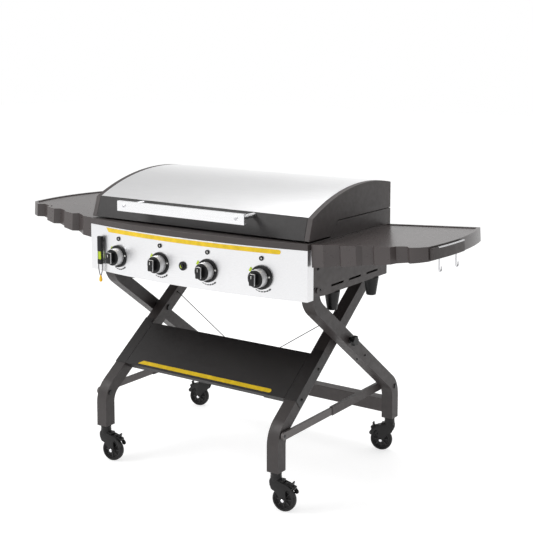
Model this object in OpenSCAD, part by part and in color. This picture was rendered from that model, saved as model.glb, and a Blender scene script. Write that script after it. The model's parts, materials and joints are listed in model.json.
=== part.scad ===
// Flat top griddle on a folding X-leg cart: four burners, bowed front panel,
// hinged lid, two drop-leaf side shelves and four swivel casters.
// Millimetres. +Z is up, the cook stands at -Y, the floor is z = 0, and the
// origin lies on the floor under the middle of the whole object.

/* [Griddle body] */
// Width of the body and of the lid
body_w = 940; // [900:10:980]
// Height of the cooking rim above the floor
rim_z = 878; // [870:1:886]
// How far the front panel bows forward at its middle
panel_bow = 46; // [20:1:60]
// Height of the front panel
panel_h = 166; // [150:1:170]
// Thickness of the cooking plate
plate_t = 6; // [4:1:8]

/* [Lid] */
// Radius of the lid's curved top
lid_r = 805; // [780:5:840]
// Length of the lid handle
handle_len = 547; // [400:1:640]

/* [Knobs] */
// Distance between neighbouring knobs
knob_pitch = 207; // [180:1:212]
// Diameter of the ring behind each knob
bezel_d = 79; // [70:1:90]

/* [Side shelves] */
// Upward tilt of the shelves, in degrees
shelf_tilt = 3.4; // [0:0.1:4]
// Depth of the shelf apron beside the body
apron_h = 75; // [60:1:78]

/* [Cart] */
// Width of a leg tube, left to right
tube_w = 44; // [40:1:46]
// Depth of a leg tube in the plane of the X
tube_d = 45; // [38:1:48]
// Slope of the crossing legs, in degrees
leg_slope = 36.7; // [36:0.1:38]
// Radius of the bends, on the middle line of the tube
bend_r = 78; // [60:1:85]
// Diameter of the caster wheels
wheel_d = 81; // [70:1:81]

/* [Hidden] */
$fn = 48;
half_w = body_w / 2;

// body, front to back
panel_y = -275;
rear_y = 271;
panel_top = rim_z - 21;
panel_bottom = panel_top - panel_h;
knob_z = 758;
sight_z = 820;
knob_x = [-1.5 * knob_pitch, -0.5 * knob_pitch, 0.5 * knob_pitch, 1.5 * knob_pitch];
sheet = 2;
match_x = -405;
match_y = -297;

// firebox and gas train
box_w = 350;
box_y0 = -227;
box_y1 = 208;
box_bottom = 705;
manifold_y = -254;
manifold_r = 10;
burner_z = 782;
burner_r = 15;
tray_x0 = 240;
tray_x1 = 380;

// cooking plate inside the rim
open_w = 446;
open_y0 = -233;
open_y1 = 254;
plate_x = 440;
plate_y0 = -229;
plate_y1 = 250;
plate_z = rim_z - 16;

// lid
lid_arc_y = 113;
lid_arc_z = 233;
lid_front_y = -266;
lid_lip_y = -243;
lid_lip_z = 957;
lid_low_z = 885;
seam_z = 930;
seam_y = -89;
seam_low_y = -137;
strip_w = 20;
hinge_y = 280;
lid_hinge_x = 380;
pin_r = 4;
pin_bore = 4.05;

// legs: the outer pair runs front-top to rear-bottom, the inner pair mirrors it
mid_y = 20;
leg_top_y = -202;
leg_foot_y = 352;
outer_x = 412;
inner_x = 354;
leg_foot_z = 129;
leg_top_z = 738;
leg_line = 413.1;
top_pivot_z = 715;
pivot_z = (leg_line - mid_y * sin(leg_slope)) / cos(leg_slope);
wall = 2;
brace_y = 350;
brace_z = 251;
brace_x = 399;
sleeve_w = 12;
sleeve_h = 30;
bar_w = 8;
bar_h = 26;

// side rails and shelves
rail_x = 457;
track_low = 704;
track_high = 726;
shelf_in = 474;
shelf_out = 867;
shelf_back = 236;
shelf_hinge_x = 480;
shelf_hinge_z = 806;
bracket_y = 150;

// casters
wheel_r = wheel_d / 2;
wheel_w = 22;
trail = 30;
stem_r = 6;
brake_x = 34;
brake_z = 90;
front_turn = 10;
rear_turn = 196;

powder = "#575050";
steel = "#d8d8da";
dark_plastic = "#1c1c1e";
yellow = "#f0cf1e";

// ---------- shared shapes ----------

// Front line of the bowed panel, as y at a given x
function bow_line(x) = panel_y - panel_bow * (1 - pow(x / half_w, 2));

// Points of the bowed front, moved back by t and in by t at both ends
function bow_points(t) =
    let (w = half_w - t, n = 24)
    [for (i = [0:n]) let (x = -w + 2 * w * i / n) [x, bow_line(x) + t]];

// Bowed outline closed by a straight back edge at y_back
module bowed_outline(t, y_back) {
    polygon(concat(bow_points(t), [[half_w - t, y_back], [t - half_w, y_back]]));
}

// Everything behind the outer face of the panel, for trimming pieces that sit on it
module behind_panel() {
    translate([0, 0, panel_bottom - 40])
        linear_extrude(panel_h + 80) bowed_outline(0, panel_y + 60);
}

// Slab of a Y-Z outline, w thick, starting at x0
module yz_slab(x0, w) {
    translate([x0, 0, 0]) rotate([90, 0, 90]) linear_extrude(w) children();
}

// Rod along X, along Y and along Z, from a lower to a higher end
module rod_x(r, x0, x1, y, z) {
    translate([x0, y, z]) rotate([0, 90, 0]) cylinder(r = r, h = x1 - x0);
}
module rod_y(r, y0, y1, x, z) {
    translate([x, y0, z]) rotate([-90, 0, 0]) cylinder(r = r, h = y1 - y0);
}
module rod_z(r, z0, z1, x, y) {
    translate([x, y, z0]) cylinder(r = r, h = z1 - z0);
}

// Box from its low corner to its high corner
module box(low, high) {
    translate(low) cube(high - low);
}

// The same shape on both sides of the object
module both_sides() {
    children();
    mirror([1, 0, 0]) children();
}

// ---------- body ----------

module firebox() {
    color("#4a4646") {
        difference() {
            union() {
                box([-box_w, box_y0, box_bottom], [box_w, box_y1, plate_z]);
                box([-rail_x, box_y0 - 12, panel_top - 3], [rail_x, rear_y - 12, panel_top]);
            }
            box([sheet - box_w, box_y0 + sheet, box_bottom + sheet],
                [box_w - sheet, box_y1 - sheet, plate_z + 1]);
            for (x = knob_x) rod_y(8, box_y0 - 1, box_y0 + 5, x, burner_z);
            for (x = [-300:60:300]) rod_z(9, box_bottom - 1, box_bottom + 4, x, 0);
            box([tray_x0 - 15, box_y1 + 3, panel_top - 4],
                [tray_x1 + 15, rear_y - 11, panel_top + 1]);
        }
        box([tray_x0 - 18, box_y1 + 4, 837], [tray_x0 - 15, rear_y - 12, panel_top - 2]);
        box([tray_x0 - 18, box_y1 + 4, 837], [tray_x0 - 2, rear_y - 12, 839.5]);
        box([tray_x1 + 15, box_y1 + 4, 837], [tray_x1 + 18, rear_y - 12, panel_top - 2]);
        box([tray_x1 + 2, box_y1 + 4, 837], [tray_x1 + 18, rear_y - 12, 839.5]);
    }
}

module top_rim() {
    color(powder) {
        difference() {
            translate([0, 0, panel_top]) linear_extrude(rim_z - panel_top)
                bowed_outline(0, rear_y);
            box([-open_w, open_y0, panel_top - 1], [open_w, open_y1, rim_z + 1]);
            translate([0, 0, panel_top - 1]) linear_extrude(rim_z - panel_top - 1.5) {
                difference() {
                    bowed_outline(2.5, rear_y - 2.5);
                    translate([-open_w - 2.5, open_y0 - 2.5])
                        square([2 * open_w + 5, open_y1 - open_y0 + 5]);
                }
            }
        }
    }
}

module control_panel() {
    color(steel) {
        difference() {
            translate([0, 0, panel_bottom]) linear_extrude(panel_h)
                bowed_outline(0, panel_y + 35);
            translate([0, 0, panel_bottom + sheet]) linear_extrude(panel_h)
                bowed_outline(sheet, panel_y + 40);
            translate([0, 0, panel_bottom - 1]) linear_extrude(panel_h)
                bowed_outline(18, panel_y + 40);
            for (x = knob_x) {
                rod_y(6, panel_y - 60, panel_y + 10, x, knob_z);
                rod_y(5, panel_y - 60, panel_y + 10, x, sight_z);
            }
            rod_y(11, panel_y - 60, panel_y + 10, 0, knob_z + 4);
        }
        box([match_x - 4, match_y - 1, 796], [match_x + 4, match_y + 12, 806]);
        box([match_x - 4, match_y - 1, 796], [match_x + 4, match_y + 2, 812]);
    }
}

// Raised stripe on the panel, straight at its left end and rounded at its right end
module panel_strip() {
    color(yellow) {
        intersection() {
            translate([0, 0, panel_bottom]) linear_extrude(panel_h) difference() {
                bowed_outline(-1.2, panel_y + 20);
                bowed_outline(0, panel_y + 21);
            }
            translate([0, panel_y + 30, 0]) rotate([90, 0, 0]) linear_extrude(120) union() {
                polygon([[-378, 853], [-366, 838], [371, 838], [371, 853]]);
                translate([371, 845.5]) circle(r = 7.5);
            }
        }
    }
}

module knob_bezels() {
    color(dark_plastic) {
        for (x = knob_x) {
            difference() {
                rod_y(bezel_d / 2, bow_line(abs(x) - 40) - 3, panel_y, x, knob_z);
                rod_y(27, panel_y - 80, panel_y + 20, x, knob_z);
                rod_y(32, panel_y - 80, bow_line(abs(x) - 40) + 1, x, knob_z);
                behind_panel();
            }
            difference() {
                rod_y(7.5, bow_line(x) - 3, panel_y, x, sight_z);
                rod_y(3.5, panel_y - 80, panel_y + 20, x, sight_z);
                behind_panel();
            }
        }
    }
}

module griddle_plate() {
    drain_x = 310;
    color("#2b2a2a") {
        difference() {
            union() {
                box([-plate_x, plate_y0, plate_z], [plate_x, plate_y1, plate_z + plate_t]);
                box([-plate_x, plate_y0, plate_z], [3 - plate_x, plate_y1, rim_z + 26]);
                box([plate_x - 3, plate_y0, plate_z], [plate_x, plate_y1, rim_z + 26]);
                box([-plate_x, plate_y1 - 3, plate_z], [plate_x, plate_y1, rim_z + 26]);
                box([-plate_x, plate_y0, plate_z], [plate_x, plate_y0 + 3, rim_z - 4]);
            }
            box([drain_x - 60, plate_y1 - 20, plate_z - 1],
                [drain_x + 60, plate_y1 - 8, plate_z + plate_t + 1]);
        }
    }
}

module burners() {
    color("#8d8b88") {
        for (x = knob_x) {
            difference() {
                union() {
                    rod_y(burner_r, box_y0 + 9, box_y1 - 40, x, burner_z);
                    for (y = [-140, 110])
                        box([x - 20, y, box_bottom + sheet], [x + 20, y + 3, burner_z - 6]);
                }
                rod_y(burner_r - 1.5, box_y0 + 8, box_y1 - 43, x, burner_z);
                for (y = [-120:30:120])
                    box([x - 10, y, burner_z + 6], [x + 10, y + 3, burner_z + 20]);
            }
        }
    }
}

module gas_manifold() {
    inlet_x = 335;
    color("#b9a05a") {
        rod_x(manifold_r, -345, inlet_x + manifold_r, manifold_y, knob_z);
        rod_z(manifold_r, 716, knob_z, inlet_x, manifold_y);
        rod_z(13, 706, 718, inlet_x, manifold_y);
        rod_z(8, 688, 708, inlet_x, manifold_y);
    }
}

module gas_valves() {
    color("#c2a867") {
        for (x = knob_x) {
            difference() {
                union() {
                    rod_y(13, manifold_y - 40, manifold_y, x, knob_z);
                    box([x - 7, manifold_y - 36, knob_z], [x + 7, manifold_y - 22, burner_z + 6]);
                    rod_y(5, manifold_y - 30, box_y0 + 4, x, burner_z);
                }
                rod_x(manifold_r, -400, 400, manifold_y, knob_z);
                rod_y(pin_bore, manifold_y - 41, manifold_y - 14, x, knob_z);
            }
        }
    }
}

module igniter_module() {
    z = knob_z + 4;
    y = bow_line(0);
    color(dark_plastic) {
        difference() {
            union() {
                rod_y(15.5, y - 4, y, 0, z);
                rod_y(10.8, y - 1, y + 34, 0, z);
                box([-24, y + 30, z - 18], [24, manifold_y - 14, z + 18]);
            }
            rod_y(8.05, y - 6, manifold_y - 20, 0, z);
        }
    }
}

module igniter_button() {
    color("#2c2c2e") rod_y(8, bow_line(0) - 8, bow_line(0) + 24, 0, knob_z + 4);
}

// One burner knob: skirt, cup and grip bar on a stem that enters the gas valve
module knob(x) {
    y = bow_line(abs(x) - 40);
    color(dark_plastic) {
        difference() {
            union() {
                rod_y(31, y - 9, y - 1, x, knob_z);
                rod_y(25, y - 24, y - 9, x, knob_z);
            }
            rod_y(21, y - 25, y - 14, x, knob_z);
        }
        box([x - 10.5, y - 54, knob_z - 20.5], [x + 10.5, y - 10, knob_z + 20.5]);
        rod_y(pin_r, y - 12, manifold_y - 18, x, knob_z);
    }
}

module wind_guard() {
    top = seam_z - 1;
    color(powder) {
        both_sides() yz_slab(half_w - 3, 3)
            polygon([[seam_low_y - 4, rim_z], [seam_low_y, rim_z + 4], [seam_y - 1, top],
                     [rear_y, top], [rear_y, rim_z]]);
        box([3 - half_w, rear_y - 3, rim_z], [half_w - 3, rear_y, top]);
    }
}

// Side rail of the body: slotted plate, foot flange and the track that the inner leg's
// roller runs in, with the bolt that the outer leg turns on and two shelf hinges
module side_rail() {
    color(powder) {
        difference() {
            yz_slab(rail_x, 3)
                polygon([[-230, panel_top + 17], [-230, 698], [-158, 690], [rear_y - 4, 690],
                         [rear_y - 4, panel_top + 17]]);
            for (y = [-74, 42, 160]) box([rail_x - 1, y - 40, 712], [rail_x + 4, y + 40, 719]);
        }
        box([420, -158, 690], [rail_x, rear_y - 4, 693]);
        box([446, -130, 690], [448, rear_y - 4, 722]);
        box([404, -2, track_low - 3], [rail_x, rear_y - 4, track_low]);
        box([404, -2, track_high], [rail_x, rear_y - 4, track_high + 3]);
        rod_x(5, 406, rail_x + 3, leg_top_y, top_pivot_z);
        rod_x(9, rail_x + 3, rail_x + 8, leg_top_y, top_pivot_z);
        rod_x(9, 405, 411, leg_top_y, top_pivot_z);
        for (y = [-bracket_y, bracket_y]) {
            for (side = [-1, 1]) {
                translate([0, y + 12 * side, 0])
                    box([rail_x, -2, shelf_hinge_z - 10],
                        [shelf_hinge_x + 8, 2, shelf_hinge_z + 10]);
            }
            rod_y(pin_r, y - 14, y + 14, shelf_hinge_x, shelf_hinge_z);
        }
    }
}

module side_rail_right() side_rail();
module side_rail_left() mirror([1, 0, 0]) side_rail();

// Tapered feet that the body stands on when it is lifted off the cart
module body_feet() {
    color(dark_plastic) {
        both_sides() {
            for (y = [-75, 190]) {
                translate([440, y, 625]) cylinder(r1 = 17, r2 = 27, h = 65);
            }
        }
    }
}

module lid_hinge_pins() {
    color(steel) {
        both_sides() translate([lid_hinge_x, 0, 0]) {
            box([-16, rear_y, seam_z - 30], [16, rear_y + 2, seam_z - 3]);
            box([-12, rear_y, seam_z - 8], [12, hinge_y, seam_z - 2]);
            rod_x(7, -12, 12, hinge_y, seam_z);
            rod_x(pin_r, -33, 33, hinge_y, seam_z);
        }
    }
}

module grease_tray() {
    x0 = tray_x0;
    x1 = tray_x1;
    y0 = box_y1 + 4;
    y1 = rear_y + 6;
    color("#6d6b6a") {
        difference() {
            box([x0, y0, 790], [x1, y1, 842]);
            box([x0 + sheet, y0 + sheet, 790 + sheet], [x1 - sheet, y1 - sheet, 843]);
        }
        box([x0 - 8, y0, 840], [x0, y1 - 10, 842]);
        box([x1, y0, 840], [x1 + 8, y1 - 10, 842]);
        box([x0 + 40, y1, 832], [x1 - 40, y1 + 14, 835]);
    }
}

// ---------- lid ----------

// Side view of the lid, drawn in by t from its outer face
module lid_profile(t) {
    intersection() {
        translate([lid_arc_y, lid_arc_z]) circle(r = lid_r - t, $fn = 240);
        polygon([[lid_front_y + t, lid_low_z - 1 + t], [lid_lip_y + t, lid_lip_z],
                 [lid_lip_y + t, 1100], [rear_y - t, 1100], [rear_y - t, seam_z + 1 + t],
                 [seam_y, seam_z + 1 + t], [seam_low_y, lid_low_z - 1 + t]]);
    }
}

module lid_skin() {
    color(steel) {
        difference() {
            yz_slab(strip_w - half_w, body_w - 2 * strip_w) {
                difference() {
                    lid_profile(0);
                    lid_profile(1.5);
                }
            }
            box([-half_w, -400, 800], [half_w, lid_lip_y - 0.01, 1100]);
            box([-half_w, -400, 800], [half_w, rear_y - 2, lid_lip_z]);
        }
    }
}

module lid_end() {
    color(powder) {
        yz_slab(half_w - 3, 3) lid_profile(0);
        yz_slab(half_w - strip_w, strip_w - 3) difference() {
            lid_profile(0);
            lid_profile(3);
        }
    }
}

module lid_end_right() lid_end();
module lid_end_left() mirror([1, 0, 0]) lid_end();

module lid_front_band() {
    lean = (lid_lip_y - lid_front_y) / (lid_lip_z - lid_low_z);
    color("#3f3a3a") {
        yz_slab(strip_w - half_w, body_w - 2 * strip_w)
            polygon([[lid_front_y, lid_low_z - 1], [lid_lip_y, lid_lip_z],
                     [lid_lip_y + 2, lid_lip_z], [lid_front_y + 3 + 3 * lean, lid_low_z + 2],
                     [lid_front_y + 22, lid_low_z + 2], [lid_front_y + 22, lid_low_z - 1]]);
    }
}

// Flat bar handle on two round stand-offs
module lid_handle() {
    grip_y = -346;
    screw_x = handle_len / 2 - 32;
    color(steel) {
        difference() {
            union() {
                box([-handle_len / 2, grip_y, 930], [handle_len / 2, grip_y + 3, 965]);
                box([-handle_len / 2, grip_y, 962], [handle_len / 2, grip_y + 14, 965]);
                box([-handle_len / 2, grip_y, 930], [handle_len / 2, grip_y + 14, 933]);
                for (x = [-screw_x, screw_x]) rod_y(8, grip_y - 2, lid_lip_y, x, 948);
            }
            yz_slab(-half_w, body_w)
                polygon([[lid_front_y, lid_low_z], [lid_lip_y, lid_lip_z],
                         [lid_lip_y + 60, lid_lip_z], [lid_lip_y + 60, lid_low_z]]);
        }
    }
}

module lid_hinge_arms() {
    color(steel) {
        both_sides() translate([lid_hinge_x, 0, 0]) {
            difference() {
                union() {
                    for (x = [-31, 13]) {
                        box([x, rear_y, seam_z + 2], [x + 18, rear_y + 2, seam_z + 36]);
                        box([x, rear_y, seam_z + 2], [x + 18, hinge_y, seam_z + 7]);
                        rod_x(7, x, x + 18, hinge_y, seam_z);
                    }
                    box([-31, rear_y, seam_z + 14], [31, rear_y + 2, seam_z + 36]);
                }
                rod_x(pin_bore, -40, 40, hinge_y, seam_z);
            }
        }
    }
}

// ---------- side shelves ----------

// Outer edge of the shelf: a shallow arc, as x at a given y
function shelf_edge(y) = shelf_out - 42 * pow((y + 20) / 270, 2);

// Plan outline of the right shelf: stepped front with three notches, arched outer edge
shelf_front = [
    [shelf_in, -262], [519, -264], [538, -252], [565, -240], [580, -259], [630, -252],
    [644, -237], [676, -227], [692, -246], [740, -234], [750, -214], [785, -206],
    [802, -226], [827, -216]
];
shelf_side = [for (y = [-196:36:236]) [shelf_edge(y), y]];
shelf_plan = concat(shelf_front, shelf_side, [[shelf_in, shelf_back]]);

// The plan shrunk about its middle by the factor k
module shelf_outline(k) {
    cx = (shelf_in + shelf_out) / 2;
    cy = -10;
    polygon([for (p = shelf_plan) [cx + (p[0] - cx) * k, cy + (p[1] - cy) * k]]);
}

// Tilt about the edge where the shelf meets the rim
module tilted() {
    translate([half_w, 0, rim_z - 2]) rotate([0, -shelf_tilt, 0])
        translate([-half_w, 0, 2 - rim_z]) children();
}

module shelf() {
    top = rim_z - 2;
    color(powder) {
        tilted() difference() {
            translate([0, 0, top - apron_h]) linear_extrude(apron_h) shelf_outline(1);
            translate([0, 0, top - apron_h - 1]) linear_extrude(apron_h - 5) shelf_outline(0.985);
            translate([0, 0, top - 3]) linear_extrude(4) shelf_outline(0.95);
            translate([0, 300, 0]) rotate([90, 0, 0]) linear_extrude(600)
                polygon([[460, top - apron_h - 5], [460, top - apron_h],
                         [900, top - apron_h + 34], [900, top - apron_h - 5]]);
            box([470, -243, top - apron_h - 2], [shelf_in + 8, shelf_back - 8, top - 6]);
        }
        for (y = [-bracket_y, bracket_y]) {
            difference() {
                translate([0, y + 8, 0]) rotate([90, 0, 0]) linear_extrude(16)
                    polygon([[475, 798], [488, 798], [520, top - 4], [475, top - 5]]);
                rod_y(pin_bore, y - 9, y + 9, shelf_hinge_x, shelf_hinge_z);
            }
        }
    }
}

module shelf_right() shelf();
module shelf_left() mirror([1, 0, 0]) shelf();

// Curved rail along the outer edge of the right shelf, with a groove along its top
module tool_rail() {
    top = rim_z - 2;
    gap = 0.3;
    thick = 11;
    ys = [for (y = [-190:16:2]) y];
    line = [for (y = ys) [shelf_edge(y) + gap, y]];
    back = [for (i = [len(ys) - 1:-1:0]) [shelf_edge(ys[i]) + gap + thick, ys[i]]];
    groove = [for (y = ys) [shelf_edge(y) + gap + 4, y]];
    groove_back = [for (i = [len(ys) - 1:-1:0]) [shelf_edge(ys[i]) + gap + 7, ys[i]]];
    color(powder) tilted() difference() {
        translate([0, 0, top - 41]) linear_extrude(36) polygon(concat(line, back));
        translate([0, 0, top - 8]) linear_extrude(4) polygon(concat(groove, groove_back));
    }
}

// Two J-shaped wire hooks under the tool rail
module tool_hooks() {
    r = 2.2;
    bend = 8;
    color(steel) {
        for (y = [-150, -50]) {
            translate([shelf_edge(y) + 7.2, y, 0]) {
                rod_z(r, 824, 857.9, 0, 0);
                translate([0, bend, 824]) rotate([0, 90, 0]) rotate([0, 0, -90])
                    rotate_extrude(angle = 180) translate([bend, 0]) circle(r = r, $fn = 24);
                rod_z(r, 824, 830, 0, 2 * bend);
            }
        }
    }
}

// Match holder hung on the left of the panel: handle, collar, wire loop and tip
module match_stick() {
    x = match_x;
    y = match_y;
    color(dark_plastic) {
        difference() {
            box([x - 10.5, y - 7, 763], [x + 10.5, y + 7, 820]);
            box([x - 4.6, y - 1.6, 766], [x + 4.6, y + 8, 815]);
        }
        box([x - 6.5, y - 5, 735], [x + 6.5, y + 5, 764]);
        box([x - 10.5, y - 7, 718], [x + 10.5, y + 7, 736]);
        for (side = [-1, 1]) {
            translate([x, y, 676]) rotate([0, 12 * side, 0]) cylinder(r = 1.8, h = 44);
        }
        rod_z(6, 652, 679, x, y);
    }
}

// ---------- legs ----------

// Outline of an outer leg in the Y-Z plane: two straight ends joined by a slope and
// two bends, h either side of the middle line, from z_low to z_high
function leg_arc(c, r, a0, a1) =
    [for (i = [0:10]) let (a = a0 + (a1 - a0) * i / 10) [c[0] + r * cos(a), c[1] + r * sin(a)]];
function leg_points(h, z_low, z_high) =
    let (turn = 90 - leg_slope,
         t = bend_r * tan(turn / 2),
         z1 = (leg_line - leg_top_y * sin(leg_slope)) / cos(leg_slope),
         z2 = (leg_line - leg_foot_y * sin(leg_slope)) / cos(leg_slope),
         c1 = [leg_top_y + bend_r, z1 + t],
         c2 = [leg_foot_y - bend_r, z2 - t])
    concat([[leg_top_y - h, z_high]],
           leg_arc(c1, bend_r + h, 180, 180 + turn),
           leg_arc(c2, bend_r - h, turn, 0),
           [[leg_foot_y - h, z_low], [leg_foot_y + h, z_low]],
           leg_arc(c2, bend_r + h, 0, turn),
           leg_arc(c1, bend_r - h, 180 + turn, 180),
           [[leg_top_y + h, z_high]]);

// One hollow leg whose inner side stands at x0; the cavity stops short of both ends
module leg(x0) {
    difference() {
        yz_slab(x0, tube_w) polygon(leg_points(tube_d / 2, leg_foot_z, leg_top_z));
        yz_slab(x0 + wall, tube_w - 2 * wall)
            polygon(leg_points(tube_d / 2 - wall, leg_foot_z + 6, leg_top_z - 3));
        rod_z(stem_r + 0.05, leg_foot_z - 1, leg_foot_z + 8, x0 + tube_w / 2, leg_foot_y);
    }
}

// Outer leg, drilled for its top bolt, the crossing bolt and the brace
module outer_leg() {
    color(powder) difference() {
        leg(outer_x);
        rod_x(5.05, outer_x - 1, outer_x + tube_w + 1, leg_top_y, top_pivot_z);
        rod_x(6, outer_x - 1, outer_x + tube_w + 1, mid_y, pivot_z);
        rod_x(5, outer_x - 1, outer_x + tube_w + 1, brace_y, brace_z);
    }
}

module outer_leg_right() outer_leg();
module outer_leg_left() mirror([1, 0, 0]) outer_leg();

// Turns a shape of the outer frame into its twin in the inner frame
module to_inner() {
    translate([0, 2 * mid_y, 0]) mirror([0, 1, 0]) children();
}

module inner_leg() {
    color(powder) difference() {
        to_inner() leg(inner_x);
        rod_x(6.05, inner_x - 1, inner_x + tube_w + 1, mid_y, pivot_z);
        rod_x(5, inner_x - 1, inner_x + tube_w + 1, 2 * mid_y - brace_y, brace_z);
        rod_x(5, inner_x - 1, inner_x + tube_w + 1, 2 * mid_y - leg_top_y, top_pivot_z);
    }
}

module inner_leg_right() inner_leg();
module inner_leg_left() mirror([1, 0, 0]) inner_leg();

// Box-section beam between the feet of the outer legs
module rear_cross_beam() {
    color(powder) difference() {
        box([-outer_x, leg_foot_y - 22, 150], [outer_x, leg_foot_y + 22, 200]);
        box([-outer_x - 1, leg_foot_y - 20, 152], [outer_x + 1, leg_foot_y + 20, 198]);
    }
}

// Crossing bolts and brace bolts of the outer frame
module outer_bolts() {
    color("#2a2a2c") both_sides() {
        rod_x(6, inner_x - 6, outer_x + tube_w, mid_y, pivot_z);
        rod_x(11, outer_x + tube_w, outer_x + tube_w + 5, mid_y, pivot_z);
        rod_x(11, inner_x - 6, inner_x - 0.5, mid_y, pivot_z);
        rod_x(10, inner_x + tube_w + 1, outer_x, mid_y, pivot_z);
        rod_x(5, brace_x + 0.5, outer_x + tube_w, brace_y, brace_z);
        rod_x(9, outer_x + tube_w, outer_x + tube_w + 4, brace_y, brace_z);
    }
    color("#2a2a2c") rod_x(5, outer_x + tube_w + 4, outer_x + tube_w + 18, mid_y, pivot_z);
}

// Brace bolts and top rollers of the inner frame
module inner_bolts() {
    color("#2a2a2c") both_sides() {
        rod_x(5, inner_x, brace_x + sleeve_w - 0.5, 2 * mid_y - brace_y, brace_z);
        rod_x(9, inner_x - 4, inner_x, 2 * mid_y - brace_y, brace_z);
        rod_x(5, inner_x, 440, 2 * mid_y - leg_top_y, top_pivot_z);
        rod_x(10.5, 405, 440, 2 * mid_y - leg_top_y, top_pivot_z);
    }
}

// Tube that ties the tops of the inner legs together behind the firebox
module inner_tie_tube() {
    y = 2 * mid_y - leg_top_y;
    color(powder) difference() {
        rod_x(14, -inner_x, inner_x, y, 675);
        rod_x(12, -inner_x - 1, inner_x + 1, y, 675);
    }
}

// Places a shape drawn with x across and y up the slope onto the front of the inner legs
module slope_frame() {
    translate([0, mid_y, pivot_z]) rotate([leg_slope, 0, 0])
        translate([0, 0, tube_d / 2]) children();
}

module lower_plate() {
    low = -295;
    high = -100;
    side = inner_x + tube_w;
    color("#2f2b2c") slope_frame() {
        difference() {
            box([-side - 2, low, 0], [side + 2, high, 2]);
            both_sides() box([inner_x - 3, low - 1, 1.2], [inner_x - 1.5, high + 1, 3]);
        }
        both_sides() box([side, low, -tube_d + 6], [side + 2, high + 20, 2]);
        both_sides() box([inner_x + 6, high - 1, 0], [side + 2, high + 20, 2]);
        box([6 - inner_x, low, -14], [inner_x - 6, low + 2, 0]);
        both_sides() box([inner_x - 94, low + 2, -22], [inner_x - 1, low + 20, 0]);
    }
}

// Yellow stripe near the lower edge of the sloped plate
module lower_strip() {
    color(yellow) slope_frame() translate([0, 0, 2]) linear_extrude(1.2) union() {
        polygon([[-296, -286], [-278, -271], [285, -271], [285, -286]]);
        translate([284, -278.5]) circle(r = 7.49);
    }
}

// Wire stay that hangs in a V from the inner legs, with a ring at its middle
module wire_stay() {
    y = 76;
    top = [inner_x, 552];
    low = [10, 332];
    run = top - low;
    color("#8a8a8c") {
        both_sides() translate([low[0], y, low[1]])
            rotate([0, atan2(run[0], run[1]), 0]) cylinder(r = 1.5, h = norm(run));
        both_sides() rod_x(4, inner_x - 5, inner_x, y, top[1] - 2);
        translate([0, y, 326]) rotate([90, 0, 0]) rotate_extrude() translate([10, 0])
            circle(r = 2, $fn = 24);
    }
}

// Telescoping brace: the sleeve turns on the outer leg, the bar on the inner leg
module brace_sleeve() {
    mouth = -20;
    color(powder) difference() {
        union() {
            box([brace_x, mouth, brace_z - sleeve_h / 2],
                [brace_x + sleeve_w, brace_y, brace_z + sleeve_h / 2]);
            rod_x(sleeve_h / 2, brace_x, brace_x + sleeve_w, brace_y, brace_z);
        }
        box([brace_x + 1.6, mouth - 1, brace_z - sleeve_h / 2 + 1.6],
            [brace_x + sleeve_w - 1.6, brace_y - 50, brace_z + sleeve_h / 2 - 1.6]);
        rod_x(5.05, brace_x - 1, brace_x + sleeve_w + 1, brace_y, brace_z);
    }
}

module brace_bar() {
    eye_y = 2 * mid_y - brace_y;
    x0 = brace_x + (sleeve_w - bar_w) / 2;
    color("#6b6364") difference() {
        union() {
            box([x0, eye_y, brace_z - bar_h / 2], [x0 + bar_w, 15, brace_z + bar_h / 2]);
            rod_x(bar_h / 2, x0, x0 + bar_w, eye_y, brace_z);
        }
        rod_x(5.05, x0 - 1, x0 + bar_w + 1, eye_y, brace_z);
    }
}

module brace_sleeve_right() brace_sleeve();
module brace_sleeve_left() mirror([1, 0, 0]) brace_sleeve();
module brace_bar_right() brace_bar();
module brace_bar_left() mirror([1, 0, 0]) brace_bar();

// Hand knob that clamps the right-hand crossing bolt: a lobed head on a hub
module pivot_knob() {
    face = outer_x + tube_w + 5.5;
    color(dark_plastic) {
        difference() {
            union() {
                rod_x(9, face, face + 6, mid_y, pivot_z);
                rod_x(15, face + 5, face + 18, mid_y, pivot_z);
                for (a = [0:60:300])
                    rod_x(4.5, face + 5, face + 18, mid_y + 14 * cos(a), pivot_z + 14 * sin(a));
            }
            rod_x(5.05, face - 1, face + 14, mid_y, pivot_z);
        }
    }
}

// ---------- casters, drawn with the swivel axis on Z and the wheel trailing to +X ----------

module fork() {
    color(dark_plastic) difference() {
        union() {
            rod_z(stem_r, 118, 152, 0, 0);
            rod_z(19, 104, leg_foot_z - 0.5, 0, 0);
            box([-15, -17, 96], [28, 17, 106]);
            for (side = [-1, 1]) translate([0, 15 * side, 0]) rotate([90, 0, 0])
                translate([0, 0, -2]) linear_extrude(4)
                    polygon([[-14, 106], [28, 106], [44, 84], [42, 34], [20, 30], [10, 62]]);
            rod_y(pin_r, -21, 21, trail, wheel_r);
        }
        rod_y(2.05, -30, 30, brake_x, brake_z);
    }
}

module wheel() {
    color("#242426") difference() {
        union() {
            difference() {
                rod_y(wheel_r, -wheel_w / 2, wheel_w / 2, 0, 0);
                for (side = [-1, 1]) translate([0, side * wheel_w / 2, 0])
                    rod_y(wheel_r - 9, -6, 6, 0, 0);
            }
            rod_y(11, -wheel_w / 2 - 1, wheel_w / 2 + 1, 0, 0);
            for (a = [0:60:300]) rotate([0, a, 0])
                box([8, -wheel_w / 2 + 2, -3], [wheel_r - 8, wheel_w / 2 - 2, 3]);
        }
        rod_y(pin_bore, -20, 20, 0, 0);
    }
}

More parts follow.
